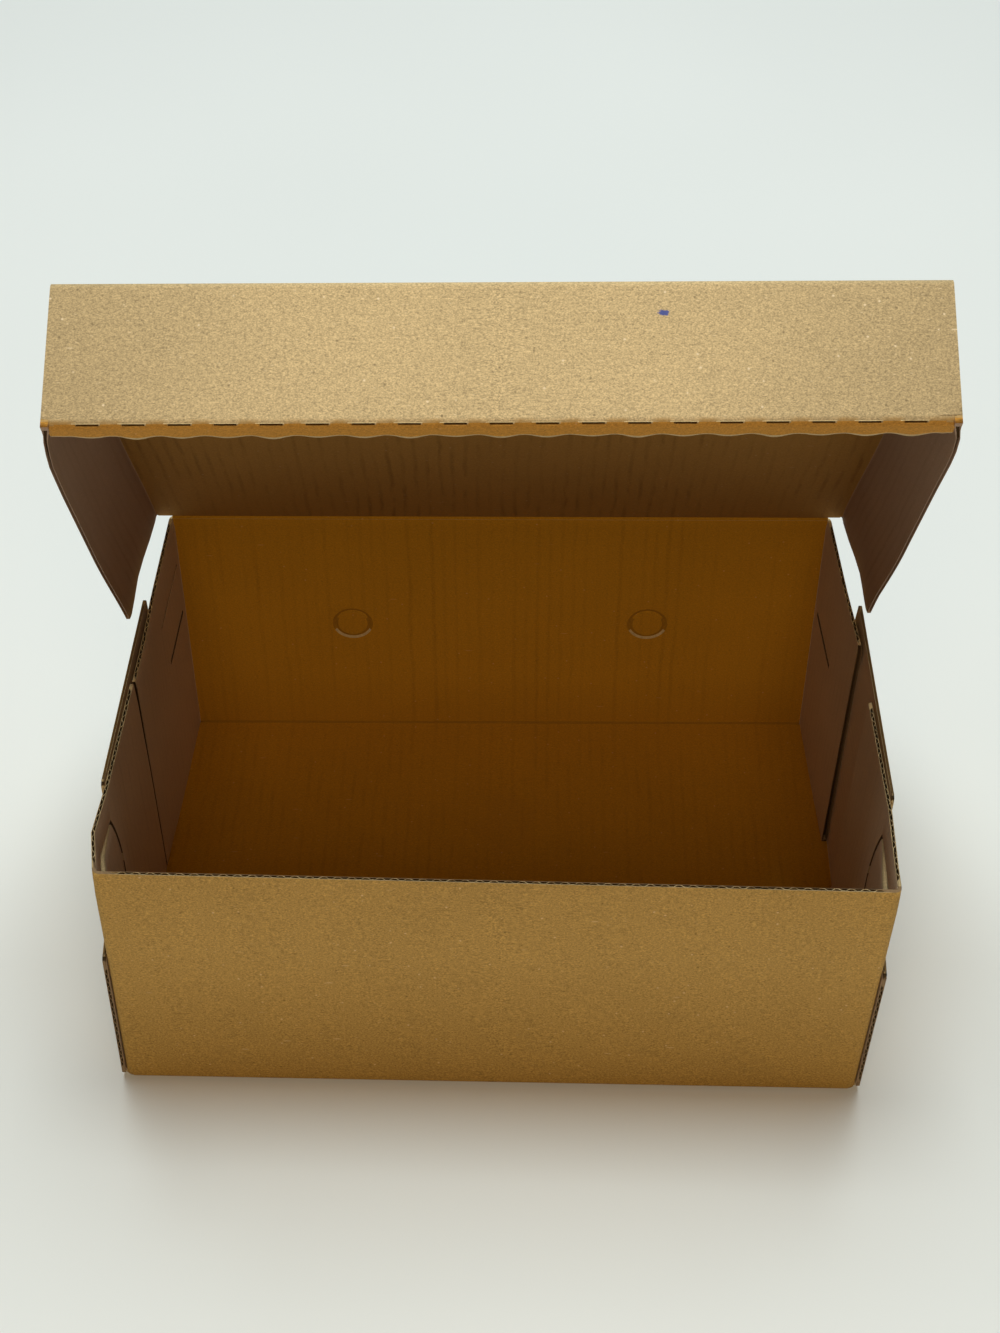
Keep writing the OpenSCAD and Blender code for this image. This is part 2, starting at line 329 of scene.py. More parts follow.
slot_walls = on_wing & near(z, SLOT_UP, 1.1) & (y > AT_REAR)
tab_walls = on_wing & between(y, -63, AT_TABS) & between(z, 47, 75.5) & (normal[:, 2] < 0.9)
board_ends = on_wing & (np.abs(normal[:, 1]) > 0.95)
top_flutes = between(z, 78.9, 82.95) & (side_x < FLAPS_FROM) & ~board_ends
flap_flutes = (side_x > FLAPS_FROM) & (np.abs(normal[:, 1:]) < 0.9).all(axis=1) & (np.abs(y) > 25)
# painted shade in open flutes and in the walls of slots and slits
print("recess_shade", paint_where(tray, slot_walls | tab_walls | top_flutes | flap_flutes, RECESS_SHADE, CUT))

rim = (normal[:, 2] > 0.9) & (z > RIM_FROM)
inner_rim = between(y, FRONT_INNER_LINER, -65.7) & (side_x < FRONT_WINGS_FROM)
corner_rim = ((side_x > 92.3) & (y < -65.2)) | ((side_x > FRONT_WINGS_FROM) & (y < -62.3))
band_ends = (side_x > FLAPS_FROM) & (normal[:, 1] < -0.9) & (y < -66)
wing_ends = board_ends & near(y, WING_ENDS_AT, WING_ENDS_REACH) & (side_x > WING_ENDS_FROM)
shaded = (rim & (inner_rim | corner_rim)) | band_ends | wing_ends
# painted shade on rims and ends that lie in the shade of a layer beside them
print("shaded", paint_where(tray, shaded, PAINTED_SHADE, CUT))

for piece in (tray, lid):
    centre, normal = faces_of(piece)
    sideways = (np.abs(normal[:, 0]) > 0.7) & (np.abs(centre[:, 0]) > WINGS_FROM)
    # painted light: the side walls take a greyer tone than the warm inside
    print("sides", paint_where(piece, sideways, SIDES, INSIDE))

# %% [markdown]
# Where the knife ran along a flute instead of across it, the edge shows two thin liners with a gutter
# between them. The top edges of the outer flaps, the upright ends of the wings and the lower edges of the
# lid's flaps are cut like that. Two insets make it: the first leaves the liners standing, and the second
# sinks what lies between them and paints it dark, as painted shade. Even offset is off, because it would
# throw a spike at every sharp corner.

# %% Sink a gutter into the edges cut along a flute
LINER = 0.25
GUTTER = 1.6
GUTTER_TAPER = 0.03
LEVEL = 0.9995
BAND_TOP = 50
LID_FLAP_RIM, LID_FLAP_FRONT = -35.4, -32.7


def sink_gutter(piece, wanted):
    edit_faces(piece, wanted)
    bpy.ops.mesh.inset(thickness=LINER * MM, use_boundary=True, use_even_offset=False)
    bpy.ops.mesh.inset(thickness=GUTTER_TAPER * MM, depth=-GUTTER * MM, use_even_offset=False)
    # painted shade on the floor of the gutter
    piece.active_material_index = RECESS_SHADE
    bpy.ops.object.material_slot_assign()
    object_mode()
    print(piece.name, "gutter faces", int(wanted.sum()))


def tray_edges(edge):
    """The faces of the tray's outer flaps or wing ends that a flute runs along."""
    centre, normal = faces_of(tray)
    out = np.abs(centre[:, 0])
    flap_top = (normal[:, 2] > LEVEL) & (kinds_of(tray) == CUT) & (out > FLAPS_FROM)
    wing_end = (np.abs(normal[:, 1]) > 0.95) & between(out, WING_ENDS_FROM, FLAPS_FROM)
    wing_end &= near(centre[:, 1], WING_ENDS_AT, WING_ENDS_REACH) & (centre[:, 2] > 2.5)
    return {"tongue": flap_top & (centre[:, 2] > RIM_FROM),
            "band": flap_top & near(centre[:, 2], BAND_TOP, 0.05),
            "wing end": wing_end}[edge]


for edge in ("tongue", "band", "wing end"):
    sink_gutter(tray, tray_edges(edge))
centre, normal = faces_of(lid)
on_flap = np.abs(centre[:, 0]) > 98.5
flap_rim = on_flap & (normal[:, 2] < -LEVEL) & (centre[:, 2] < LID_FLAP_RIM)
flap_front = on_flap & (normal[:, 1] < -0.9) & (centre[:, 2] < LID_FLAP_FRONT)
# painted shade: the lower rims of the lid's flaps take the darker tone of the flaps' inner liner
paint_where(lid, flap_rim, SIDES, CUT)
paint_where(lid, flap_front, OUTSIDE, CUT)
sink_gutter(lid, flap_rim)

# %% [markdown]
# The flutes show through the liners as faint ribs, upright in the walls and lying in the side flaps. A
# pattern on Object coordinates can't know which panel it is on, so each face gets a UV whose U counts
# flutes across the panel. The material then turns U into ribs.

# %% Count flutes across every panel
def count_flutes(piece, flap_from, wing_axis):
    """Panels that face left or right count along wing_axis, or along Z from flap_from outwards.

    All the other panels count along X."""
    centre, normal = faces_of(piece)
    axis = np.zeros(len(centre), dtype=int)
    sideways = np.abs(normal[:, 0]) > 0.7
    axis[sideways] = wing_axis
    axis[sideways & (np.abs(centre[:, 0]) > flap_from)] = 2
    totals = np.empty(len(centre), dtype=int)
    piece.data.polygons.foreach_get("loop_total", totals)
    corner_axis = np.repeat(axis, totals)
    corner_point = np.empty(len(piece.data.loops), dtype=int)
    piece.data.loops.foreach_get("vertex_index", corner_point)
    place = points_of(piece)[corner_point]
    across = place[np.arange(len(place)), corner_axis] / FLUTE
    along = place[np.arange(len(place)), (corner_axis + 1) % 3] / FLUTE
    layer = piece.data.uv_layers.new(name="flutes")
    layer.data.foreach_set("uv", np.stack([across, along], axis=1).ravel())


count_flutes(tray, flap_from=96.6, wing_axis=1)
count_flutes(lid, flap_from=0.0, wing_axis=2)
print("flutes across the front wall:", round(2 * FRONT_HALF_WIDTH / FLUTE))

# %% [markdown]
# Hand-folded board is never quite flat. Pulling single points would tear or crumple the mesh, so every
# bend is a smooth move of many points, faded in and out by soft ramps of the place. The moves of the tray
# are added up in one array, layer by layer, and made together.

# %% Soft ramps and the layers of a side
HEIGHT = 83.0
REAR_WINGS_FROM = 92.01


def ramp(place, start, end):
    share = np.clip((place - start) / (end - start), 0, 1)
    return share * share * (3 - 2 * share)


def move_points(piece, move):
    piece.data.vertices.foreach_set("co", ((points_of(piece) + move) * MM).ravel())
    piece.data.update()
    print(piece.name, "largest move", round(float(np.abs(move).max()), 2), "mm")


def side_layers(side):
    """How far out the tray's points lie on one side, and which of them belong to each layer there."""
    out = x * side
    flap = out > FLAPS_FROM
    front_wing = (out > FRONT_WINGS_FROM) & ~flap & (y < -2)
    front_wall = (y < -65.2) & (out > 0) & ~flap & ~front_wing
    rear_wing = (out > REAR_WINGS_FROM) & ~flap & (y > 0)
    return out, flap, front_wing, front_wall, rear_wing


x, y, z = points_of(tray).T
rise = np.clip(z / HEIGHT, 0, 1)
move = np.zeros((len(x), 3))
print("points of the tray:", len(x))

# %% [markdown]
# The left outer flap leans out at the front of its tongue and in at the rear, and the right one hardly
# leans. The front wings lean with the flap beside them, the left one has a kink where it was gripped, and
# the ends of the front wall go along, so that the sheet stays in one piece. LEAN holds the moves of the
# rim at both ends of a tongue, and KINK holds places along a wing and the moves of its rim there.

# %% Lean the outer flaps and kink the front wings
TONGUE_ENDS_AT = 32.25
LEAN = {-1: (1.0, -1.3), 1: (0.15, 0.1)}
KINK = {-1: ((-67.2, WING_KINK_AT, BEFORE_TONGUE, -3.0), (0.0, 2.1, 0.8, 0.25)),
        1: ((-62.0, -41.0, BEFORE_TONGUE, -3.0), (0.0, 0.8, 0.75, 0.25))}
KINK_STARTS_UP = 35
WALL_GIVES_FROM, WALL_GIVES_TO = 50, 95
REAR_WING_GIVES = 32

for side in (-1, 1):
    out, flap, front_wing, front_wall, rear_wing = side_layers(side)
    lean = np.interp(y, (TONGUE_STARTS_AT, TONGUE_ENDS_AT), LEAN[side]) * rise
    kink = np.interp(y, *KINK[side]) * ramp(z, KINK_STARTS_UP, HEIGHT)
    wall_lean = front_wall * lean * ramp(out, WALL_GIVES_FROM, WALL_GIVES_TO)
    move[:, 0] += side * (flap * lean + front_wing * (lean + kink) + wall_lean)
    give = np.clip((REAR_WING_GIVES - y) / REAR_WING_GIVES, 0, 1)
    move[:, 0] += side * rear_wing * np.minimum(lean, 0) * give
print("rims lean up to", round(float(np.abs(move).max()), 2), "mm")

# %% [markdown]
# The knife and many hands crush fluted board at its cut edges, so there it is thinner than in the middle
# of a panel. Each layer is drawn together: the tongues to their outer liner, the front ends of the bands
# to their inner one, and the walls and wings to the middle of the board. At the rounded front corners
# that middle is an arc.

# %% Crush the cut edges
CRUSHED = 0.37
TONGUE_CRUSHED = 0.5
CRUSHED_FROM, TONGUE_CRUSHED_FROM = 77, 70
FLAP_INNER, FLAP_OUTER = 96.7, 98.2
BAND_CRUSHED_FROM, BAND_FRONT = 56, 66.7
WING_MIDDLE, WALL_MIDDLE = 95.75, -66.5
CORNER_X, CORNER_Y, CORNER_R = 94.5, -65.25, 1.25

for side in (-1, 1):
    out, flap, front_wing, front_wall, _ = side_layers(side)
    move[:, 0] += side * flap * (FLAP_OUTER - out) * TONGUE_CRUSHED * ramp(z, TONGUE_CRUSHED_FROM, HEIGHT)
    band_front = ramp(-y, BAND_CRUSHED_FROM, BAND_FRONT) * (y < -BAND_CRUSHED_FROM)
    move[:, 0] += side * flap * (FLAP_INNER - out) * CRUSHED * band_front
    crush = CRUSHED * ramp(z, CRUSHED_FROM, HEIGHT)
    corner = (out > CORNER_X) & (y < CORNER_Y) & ~flap
    from_corner = np.maximum(np.hypot(out - CORNER_X, y - CORNER_Y), 0.1)
    pull = corner * (CORNER_R - from_corner) / from_corner * crush
    move[:, 0] += side * ((front_wing & ~corner) * (WING_MIDDLE - out) * crush + pull * (out - CORNER_X))
    move[:, 1] += (front_wall & ~corner) * (WALL_MIDDLE - y) * crush + pull * (y - CORNER_Y)
print("cut edges are crushed above", CRUSHED_FROM, "mm")

# %% [markdown]
# The free ends of the wings aren't quite where the die put them. On the left both slant back towards the
# foot, so the seam between them runs aslant. On the right only the rear wing slants, a little, and its
# end stands off. The rims of the rear wings are crushed too, along a line that follows their splay.

# %% Slant the ends of the wings
FRONT_WING_GROWS = {-1: 1.8, 1: -1.6}
REAR_WING_GROWS = {-1: 0.9, 1: 1.2}
REAR_WING_STANDS_OFF = {-1: 0.0, 1: 0.5}
REAR_WING_ENDS_AT = {-1: 0.4, 1: 17.4}
WING_END_SLANT = {-1: 7.5, 1: 2.0}
WING_SPLAY = 2.5
SPLAY_LENGTH = {-1: 65.65, 1: 82.65}
REAR_WING_MIDDLE = 93.25
REAR_FACE = 65.25
ABOVE_BOTTOM = 1.9

for side in (-1, 1):
    out, _, front_wing, _, rear_wing = side_layers(side)
    slant = WING_END_SLANT[side] * (1 - rise) * (z > ABOVE_BOTTOM)
    front_end = front_wing * ramp(y, -20, -3.2)
    rear_end = rear_wing * ramp(-y, -40, -REAR_WING_ENDS_AT[side])
    move[:, 1] += front_end * (FRONT_WING_GROWS[side] + slant * (side < 0))
    move[:, 1] += rear_end * (slant - REAR_WING_GROWS[side])
    move[:, 0] += side * rear_end * REAR_WING_STANDS_OFF[side] * rise
    middle = REAR_WING_MIDDLE + (REAR_FACE - y) * WING_SPLAY / SPLAY_LENGTH[side]
    move[:, 0] += side * rear_wing * (middle - out) * CRUSHED * ramp(z, 80.5, HEIGHT)
print("wing ends slant by up to", max(WING_END_SLANT.values()), "mm")

# %% [markdown]
# The lock tabs in the front wings are cut free along an arc and hang on a fold at their foot. Each is
# pushed in, most of all at its front, and drawn away from the arc so that the cut shows as a thin gap.
# The solids leave a little air under the wings, so these are set down on the bottom.

# %% Push the lock tabs in and set the wings down
TAB_LEAN = 1.35
TAB_GAP = 0.4
TAB_TALL = 28
TAB_ARC_Y, TAB_ARC_Z, TAB_ARC_R = -83.75, 56.0, 45.3
WING_AIR, REAR_AIR = 0.45, 1.6

side_x = np.abs(x)
from_arc = np.hypot(y - TAB_ARC_Y, z - TAB_ARC_Z)
on_tab = between(side_x, FRONT_WINGS_FROM, FLAPS_FROM) & (y > -61.9) & between(z, 46.5, 74.3)
on_tab &= from_arc < TAB_ARC_R
tilt = (z - TAB_FOLD_UP) / TAB_TALL * (0.1 + 0.9 * ramp(-y, 43, 60))
move[:, 0] -= np.sign(x) * on_tab * TAB_LEAN * tilt
move[:, 1] -= TAB_GAP * (on_tab & (from_arc > TAB_ARC_R - 1.0))
wing_foot = near(z, 2.0, 0.1) & between(side_x, 91.97, FLAPS_FROM) & (np.abs(y) < 67.3)
move[:, 2] -= wing_foot * np.where(y > 65.2, REAR_AIR, WING_AIR)
print("points on the lock tabs:", int(on_tab.sum()), "on feet:", int(wing_foot.sum()))

# %% [markdown]
# The carton doesn't stand quite square either. The front wall is turned a little in plan, its right end
# nearer to the viewer, its top leans out and its foot is pushed to the left. The rear fold keeps its
# place, so the move grows evenly from there. Each pair of values is for the foot and the top.

# %% Turn the front wall a little out of square
FRONT_TURN = (1.7, 2.5)
FRONT_LEAN = (0.5, 1.5)
FRONT_SLIDE = -2.1
TRAY_DEPTH = 132.5

forward = np.clip((REAR_FACE - y) / TRAY_DEPTH, 0, 1)
across = x / FRONT_HALF_WIDTH
turn = across * np.interp(rise, (0, 1), FRONT_TURN)
move[:, 1] -= forward * (turn + np.interp(rise, (0, 1), FRONT_LEAN))
move[:, 0] += forward * FRONT_SLIDE * (1 - rise)
move_points(tray, move)

# %% [markdown]
# The two discs in the rear wall were only pressed into the paper, so each one shows as a soft groove
# whose lower rim catches the light. The solid has a square groove. Spreading its rims and drawing in its
# floor turns the walls into slopes.

# %% Soften the grooves round the pressed discs
GROOVE_R = 5.15
GROOVE_FLOOR_FROM = 65.9
RIMS_SPREAD = 0.4
FLOOR_DRAWN_IN = 0.22
FLOOR_SUNK = 0.12

x, y, z = points_of(tray).T
off_x = np.abs(x) - DISC_OUT
off_z = z - DISC_UP
reach = np.hypot(off_x, off_z)
groove = near(reach, GROOVE_R, 0.6) & near(y, 66, 0.4)
on_floor = y > GROOVE_FLOOR_FROM
outward = np.where(reach > GROOVE_R, 1, -1) * np.where(on_floor, -FLOOR_DRAWN_IN, RIMS_SPREAD) * groove
move = np.stack([np.sign(x) * outward * off_x / np.maximum(reach, 1), FLOOR_SUNK * groove * on_floor,
                 outward * off_z / np.maximum(reach, 1)], axis=1)
move_points(tray, move)

# %% [markdown]
# The skirt of the lid is rolled back on itself round a perforated fold. The roll needs finer cells than
# the panels, because it waves once for every slit. Hiding the rest of the lid keeps the extra slices on
# the roll alone. Two more slices mark the lip over the slits, where the paper tore.

# %% Cut the roll into finer cells
PERF_PITCH = 10.0
CELLS_PER_SLIT = 8
SKIRT_HALF = 98.4
FOLD_Y, FOLD_Z, FOLD_R = -138.9, -32.45, 2.0
ROLL_LIT_FROM = -136.0
LIP_ANGLES = (32.0, 37.8)

centre = faces_of(lid)[0]
edit_faces(lid, (centre[:, 1] < -133.5) & (centre[:, 2] < -26))
bpy.ops.mesh.hide(unselected=True)
slice_at(0, np.arange(-SKIRT_HALF, SKIRT_HALF, PERF_PITCH / CELLS_PER_SLIT))
slice_at(1, [ROLL_LIT_FROM])
slice_at(2, [FOLD_Z - FOLD_R * math.sin(math.radians(angle)) for angle in LIP_ANGLES])
bpy.ops.mesh.reveal(select=False)
object_mode()
print(lid.name, "has", len(lid.data.polygons), "faces with the finer roll")

# %% [markdown]
# Under the fold the paper is in shade, and its golden tone is painted shade. Its rear rim is painted as
# pale as a cut edge, a painted highlight, and over each slit stands a torn lip with a pale painted
# highlight. The place round the fold, as an angle that grows from the skirt's face downwards, tells these
# strips apart.

# %% Colour the roll
FOLD_BELOW = -32.4
SLIT_HALF = 2.9
ROLL_FROM, ROLL_FROM_AT_SLIT = 38, 48
LAST_LIP = 93.5


def from_slits(x):
    """How far each place lies from the middle of the nearest slit."""
    return np.abs((x + PERF_PITCH / 2) % PERF_PITCH - PERF_PITCH / 2)


def angle_round_fold(y, z):
    return np.degrees(np.arctan2(FOLD_Z - z, FOLD_Y - y))


centre, normal = faces_of(lid)
x, y, z = centre.T
side_x = np.abs(x)
slit_away = from_slits(x)
fold_angle = angle_round_fold(y, z)
front_fold = (y < FOLD_Y) & (z < FOLD_BELOW)
under_roll = (z < -33.4) & (normal[:, 2] < -0.5) & between(y, -140.0, -135.6)
roll_from = np.where(slit_away > SLIT_HALF, ROLL_FROM, ROLL_FROM_AT_SLIT)
roll = (side_x < SKIRT_HALF) & (under_roll | (front_fold & (fold_angle > roll_from)))
# painted shade: the golden tone under the roll
print("roll", paint_where(lid, roll, ROLL, OUTSIDE))
# painted highlight on the torn lip over each slit
lip = front_fold & between(fold_angle, *LIP_ANGLES) & (slit_away < SLIT_HALF) & (side_x < LAST_LIP)
print("worn lips", paint_where(lid, lip, LIP_HIGHLIGHT, OUTSIDE))
# painted highlight: the rear rim of the roll takes the pale tone of a cut edge
lit = (y > ROLL_LIT_FROM) & (z < -33.0) & (normal[:, 2] < -0.8) & (side_x < SKIRT_HALF)
print("lit rim", paint_where(lid, lit, CUT, ROLL) + paint_where(lid, lit, CUT, OUTSIDE))
# the corner of the roll takes the same painted shade
roll_corner = (side_x > 98.3) & (y < -138.2) & (fold_angle > 34) & (z < -33)
print("roll corner", paint_where(lid, roll_corner, ROLL, OUTSIDE) + paint_where(lid, roll_corner, ROLL, CUT))

# %% [markdown]
# Between the slits the fold is rubbed darker by handling. Painting faces would give it hard steps, so the
# rubbing is stored as a value at every point, which the material blends by.

# %% Rub the fold between the slits
x, y, z = points_of(lid).T
side_x = np.abs(x)
unslit = np.maximum(ramp(from_slits(x), 2.2, 3.8), ramp(side_x, 92.5, 95))
rub = unslit * ramp(angle_round_fold(y, z), 0, 36) * (y < FOLD_Y) * (z < FOLD_BELOW)
scuff = lid.data.attributes.new("scuff", "FLOAT", "POINT")
scuff.data.foreach_set("value", rub)
print("rubbed points", int((rub > 0).sum()))

# %% [markdown]
# The inner fold of the roll swells at every slit, where the perforation lets it go, so its edge is a row
# of waves. No two slits gave way alike, so a slow sine of the slit's number makes the waves uneven
# without chance.

# %% Wave the rolled edge
ROLL_SWELL = 1.05
ROLL_DROOP = 0.35 * ROLL_SWELL

move = np.zeros((len(x), 3))
slit = np.round(x / PERF_PITCH)
uneven = 0.85 + 0.25 * np.sin(2.3 * slit + 0.6)
wave = (0.5 + 0.5 * np.cos(2 * np.pi * x / PERF_PITCH)) * uneven
inner_fold = ramp(y, -138.0, -134.6) * ramp(-z, 29.0, 33.5) * (y < -134.0) * (side_x < 97)
move[:, 1] += ROLL_SWELL * wave * inner_fold
move[:, 2] -= ROLL_DROOP * wave * inner_fold
print("the roll waves by up to", round(float(move[:, 1].max()), 2), "mm")

# %% [markdown]
# The lid's side flaps bow out below the lid panel, each in its own way, the left one sags and the right
# one is lifted, and their lower edges are crushed. The lid panel is a little narrower at the hinge than
# at the skirt. FLAP_BOW holds the moves of a flap's lower part at the places along it in FLAP_BOW_AT.

# %% Bow the lid's flaps
FLAP_BOW_AT = (-139, -131, -120, -104, -70, -30, -12)
FLAP_BOW = {-1: (0, 1.4, 2.1, 2.35, 2.35, 2.45, 2.7), 1: (0, 1.65, 1.65, 1.5, 1.5, 1.8, 2.7)}
FLAP_SAG = {-1: 1.4, 1: -0.9}
LID_TAPER = {-1: 1.6, 1: 2.1}
FLAP_FRONT_RISES = 1.0
LID_FLAP_MIDDLE = 99.3

for side in (-1, 1):
    out = x * side
    on_flap = (out > SKIRT_HALF) & (y > -139.3)
    move[:, 0] += side * on_flap * np.interp(y, FLAP_BOW_AT, FLAP_BOW[side]) * ramp(-z, 0, 24)
    move[:, 2] += on_flap * FLAP_FRONT_RISES * ramp(-z, 33, -LID_FLAP_RIM) * (1 - ramp(y, -137, -120))
    crush = CRUSHED * ramp(-z, 31, -LID_FLAP_RIM) * (y > -137)
    move[:, 0] += side * on_flap * (LID_FLAP_MIDDLE - out) * crush
    move[:, 2] -= on_flap * FLAP_SAG[side] * ramp(-z, 0, 34) * np.clip((y + 130) / 116, 0, 1)
    move[:, 0] -= side * LID_TAPER[side] * ramp(y, -65, -1.5) * ramp(out, 60, 98)
print("the flaps bow by up to", round(float(np.abs(move[:, 0]).max()), 2), "mm")

# %% [markdown]
# Where flap, skirt and roll meet, the solid leaves small gaps that folded paper doesn't have, so these
# corners are drawn together. Last, the whole lid is twisted and slid a little, more and more from the
# hinge forward, and turned back to where it stands open.

# %% Close the lid's front corners and twist the lid
CORNER_FORWARD, CORNER_UP = 1.67, 0.24
ROLL_END_OUTER, ROLL_END_INNER = -0.19, 0.4
LID_TWIST = 0.83
LID_SLIDE = 0.7
LID_LENGTH, LID_HALF_WIDTH = 140, 100

front_corner = (side_x > SKIRT_HALF) & (y < -139.1) & (z < LID_FLAP_FRONT)
move[:, 1] -= CORNER_FORWARD * front_corner * (y > -139.4)
move[:, 2] += CORNER_UP * front_corner * (z > -32.9)
roll_end = between(side_x, 98.0, 98.7) & (y < -133.9) & (z < FOLD_BELOW)
move[:, 0] += np.sign(x) * roll_end * np.where(side_x > SKIRT_HALF, ROLL_END_OUTER, ROLL_END_INNER)
forward = np.clip(-y / LID_LENGTH, 0, 1)
move[:, 0] += LID_SLIDE * forward
move[:, 2] += LID_TWIST * forward * x / LID_HALF_WIDTH
move_points(lid, move)
lid.data.transform(lid_to_bench.inverted())

# %% [markdown]
# Folds in board are soft and cut edges are sharp. Smoothing by angle keeps the two apart, and a weighted
# normal modifier makes large faces win over small ones, so that flat panels stay flat. Each finished
# sheet then takes the place of its solid and moves with it.

# %% Finish the two sheets
for piece, body, slot in ((tray, "tray", "kraft_tray"), (lid, "lid", "kraft_lid")):
    bpy.ops.object.select_all(action="DESELECT")
    piece.select_set(True)
    bpy.context.view_layer.objects.active = piece
    bpy.ops.object.shade_smooth_by_angle(angle=SOFT_FOLD)
    flat_first = piece.modifiers.new("flat panels stay flat", "WEIGHTED_NORMAL")
    flat_first.keep_sharp = True
    bpy.ops.object.modifier_apply(modifier=flat_first.name)
    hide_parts(body)
    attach(piece, body)
    print(piece.name, "is finished with", len(piece.data.polygons), "faces")

# %% [markdown]
# Between the rear wall and the lid runs a pressed crease. The two solids taper to it so that they can
# turn, and on the real sheet the paper goes on through the notch. A narrow strip of board fills it: a
# bar, pinched at its middle row, whose upper rows are turned with the lid.

# %% The hinge crease
CREASE_HALF_LENGTH = 92.7
CREASE_REACH = 2.0
CREASE_THINNER = 0.06
CREASE_PINCH = 0.55
PINCH_REACH = 0.9
BEND_REACH = 0.6

bpy.ops.object.select_all(action="DESELECT")
bpy.ops.mesh.primitive_cube_add(size=1.0)
crease = bpy.context.object
crease.name = "hinge_crease"
crease.scale = (2 * CREASE_HALF_LENGTH * MM, (BOARD - CREASE_THINNER) * MM, 2 * CREASE_REACH * MM)
bpy.ops.object.transform_apply(location=False, rotation=False, scale=True)
edit_only(crease)
slice_at(2, np.arange(-1.2, 1.21, 0.3))
object_mode()
crease.data.materials.append(None)
crease.data.materials.append(None)
crease.data.polygons.foreach_set("material_index", (faces_of(crease)[0][:, 1] > 0.1).astype(np.int32))
x, y, z = points_of(crease).T
pinch = np.zeros((len(x), 3))
pinch[:, 1] = y * (CREASE_PINCH - 1) * (1 - ramp(np.abs(z), 0.0, PINCH_REACH))
move_points(crease, pinch)
turn = (math.pi / 2 - lid_angle) * ramp(z, -BEND_REACH, BEND_REACH)
x, y, z = points_of(crease).T
crease_y = y * np.cos(turn) - z * np.sin(turn)
crease_z = y * np.sin(turn) + z * np.cos(turn)
move_points(crease, np.stack([0 * x, crease_y - y, crease_z - z], axis=1))
crease.data.transform(Matrix.Translation(crease_point))
print("hinge crease has", len(crease.data.polygons), "faces")

# %% [markdown]
# Materials come next. They could be photographs of paper, but nodes have no seams and stay sharp close
# up. These helpers make a node and set or link its inputs in one line, so that a material reads like a
# recipe. A Mix node has sockets for every kind of data, and the ones for colours are only found by their
# number.

# %% Node helpers
SHEEN_OF_PAPER = 0.15
MIX_SHARE, MIX_UNDER, MIX_OVER, MIX_RESULT = 0, 6, 7, 2


def node(tree, kind, inputs=None, **settings):
    made = tree.nodes.new(kind)
    for key, value in settings.items():
        setattr(made, key, value)
    for key, value in (inputs or {}).items():
        if isinstance(value, bpy.types.NodeSocket):
            tree.links.new(value, made.inputs[key])
        else:
            made.inputs[key].default_value = value
    return made


def new_material(name):
    material = bpy.data.materials.new(name)
    material.use_nodes = True
    tree = material.node_tree
    shader = tree.nodes["Principled BSDF"]
    shader.inputs["Specular IOR Level"].default_value = SHEEN_OF_PAPER
    return material, tree, shader, node(tree, "ShaderNodeTexCoord").outputs["Object"]


def opaque(tone):
    return tuple(tone) + (1.0,)


def spread(tree, value, low, high, to_low, to_high):
    made = node(tree, "ShaderNodeMapRange", {"Value": value, "From Min": low, "From Max": high,
                                             "To Min": to_low, "To Max": to_high})
    return made.outputs["Result"]


def tinted(tree, share, under, over, blend="MIX"):
    made = node(tree, "ShaderNodeMix", {MIX_SHARE: share, MIX_UNDER: under, MIX_OVER: over},
                data_type="RGBA", blend_type=blend)
    return made.outputs[MIX_RESULT]


def arithmetic(tree, operation, first, second):
    made = node(tree, "ShaderNodeMath", {0: first, 1: second}, operation=operation)
    return made.outputs["Value"]


def part_of(tree, vector, axis):
    return node(tree, "ShaderNodeSeparateXYZ", {"Vector": vector}).outputs[axis]


def emboss(tree, shader, strength, depth, height):
    relief = node(tree, "ShaderNodeBump", {"Strength": strength, "Distance": depth * MM, "Height": height})
    tree.links.new(relief.outputs["Normal"], shader.inputs["Normal"])


# %% [markdown]
# Kraft paper is made of two patterns. Fibres and specks of recycled pulp are scattered spots, which a
# Voronoi pattern gives: one spot in each cell, long ones by stretching the space. The felt and the cloudy
# tone are noise. Both work on Object coordinates in metres, so their scales count cells in a metre.

# %% Scattered specks and cloudy tones
SPOT_CORE = 0.5
CLOUD_ROUGHNESS = 0.6


def specks(tree, where, per_metre, radius, kept, stretch=(1, 1, 1), turn=(0, 0, 0)):
    """Scattered spots: one for each cell of a Voronoi pattern, of which only a share is kept."""
    laid = node(tree, "ShaderNodeMapping", {"Vector": where, "Rotation": turn, "Scale": stretch})
    cells = node(tree, "ShaderNodeTexVoronoi", {"Vector": laid.outputs["Vector"], "Scale": per_metre})
    spot = spread(tree, cells.outputs["Distance"], radius, radius * SPOT_CORE, 0.0, 1.0)
    chance = node(tree, "ShaderNodeSeparateColor", {"Color": cells.outputs["Color"]})
    chosen = arithmetic(tree, "LESS_THAN", chance.outputs["Red"], kept)
    return arithmetic(tree, "MULTIPLY", spot, chosen)


def cloud(tree, where, per_metre, detail, distortion=0.0, stretch=(1, 1, 1)):
    laid = node(tree, "ShaderNodeMapping", {"Vector": where, "Scale": stretch})
    made = node(tree, "ShaderNodeTexNoise", {"Vector": laid.outputs["Vector"], "Scale": per_metre,
                                             "Detail": detail, "Roughness": CLOUD_ROUGHNESS,
                                             "Distortion": distortion})
    return made.outputs["Fac"]


# %% [markdown]
# The flutes print through the liner as thin dark dashes. A sine of the flute count gives one line for
# each flute. Noise lets the lines wander, breaks them into dashes and lets whole patches fade, because an
# even grating would look printed.

